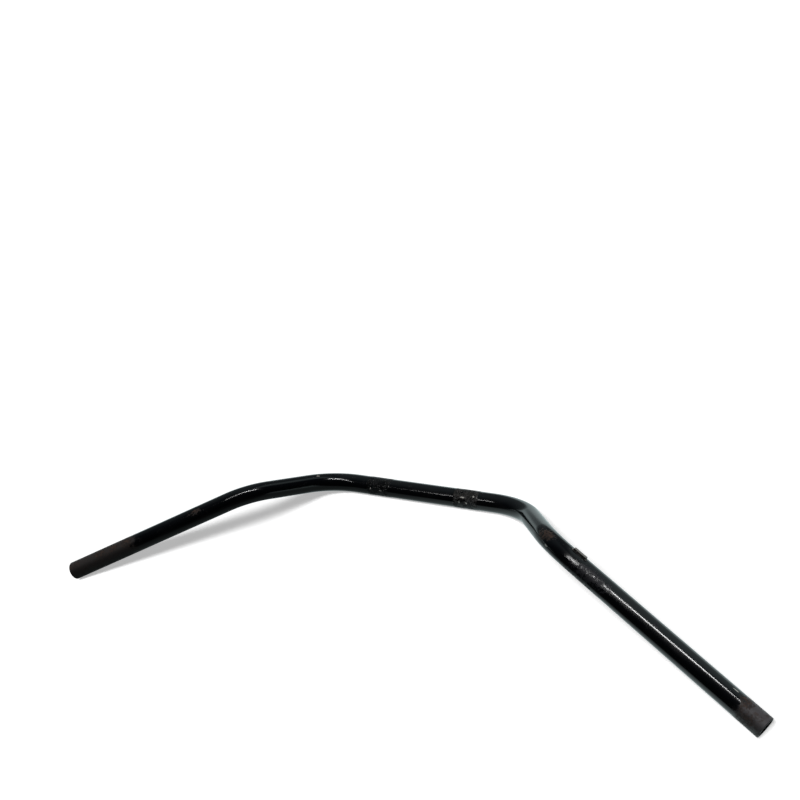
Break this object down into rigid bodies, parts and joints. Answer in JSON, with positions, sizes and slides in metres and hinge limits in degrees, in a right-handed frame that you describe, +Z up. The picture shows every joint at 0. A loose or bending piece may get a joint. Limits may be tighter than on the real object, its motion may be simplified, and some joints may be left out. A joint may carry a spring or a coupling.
{
  "type": "quad bike handlebar",
  "caption": "Bent steel tube handlebar for a quad bike, worn black paint, with knurled clamp bands, open ends and a small welded stop tab; it clamps to the stem and carries grips and controls",
  "frame": {"origin": "on the tube's axis, halfway between the two clamp bands; the table is 11.3 mm below it", "axes": "+X along the straight middle section towards the arm with the stop tab, the rider's right; +Z up as the bar lies on a table; -Y towards the open ends, the rider's side"},
  "size_m": [0.8326, 0.2216, 0.0715],
  "materials": {
    "black_paint": "gloss black paint, worn to bare rusty steel at both ends, on the clamp bands and in patches on the right riser",
    "tab_paint": "gloss black paint, worn on the edges",
    "painted_weld": "black paint over a weld, with a trace of rust"
  },
  "bodies": {
    "root": {"bar_tube": "black_paint", "stop_tab": "tab_paint", "tab_welds": "painted_weld"}
  },
  "joints": []
}
